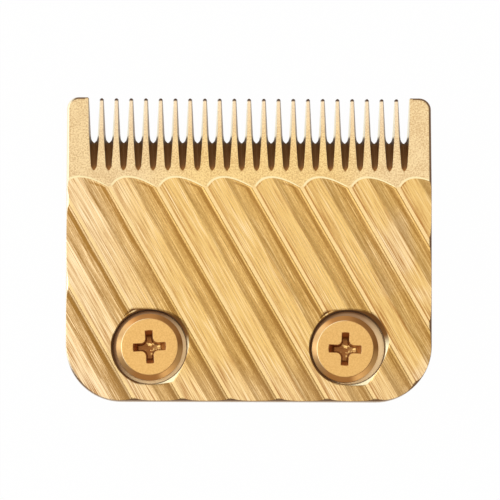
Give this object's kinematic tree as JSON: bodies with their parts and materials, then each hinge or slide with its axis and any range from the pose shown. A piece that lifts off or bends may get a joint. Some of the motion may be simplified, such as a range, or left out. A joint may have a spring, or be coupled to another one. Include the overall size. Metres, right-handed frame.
{
  "type": "hair clipper blade",
  "caption": "Fixed comb blade of a hair clipper: bevelled steel plate with ground teeth on one edge, diagonal flutes on its face and counterbored screws that fasten it to a clipper head.",
  "frame": {"origin": "on the flat back face, midway between the axes of the two screw holes", "axes": "+X across the blade, to the right when its fluted face is seen with the teeth up; +Y towards the tooth tips; +Z out of the fluted face"},
  "size_m": [0.045, 0.0377, 0.0077],
  "materials": {
    "coated_blade_steel": "satin gold nitride coat over ground steel, with grinding streaks along the flutes",
    "coated_screw_steel": "matt gold coat over formed steel"
  },
  "bodies": {
    "root": {"fixed_blade": "coated_blade_steel", "blade_screws": "coated_screw_steel"}
  },
  "joints": []
}
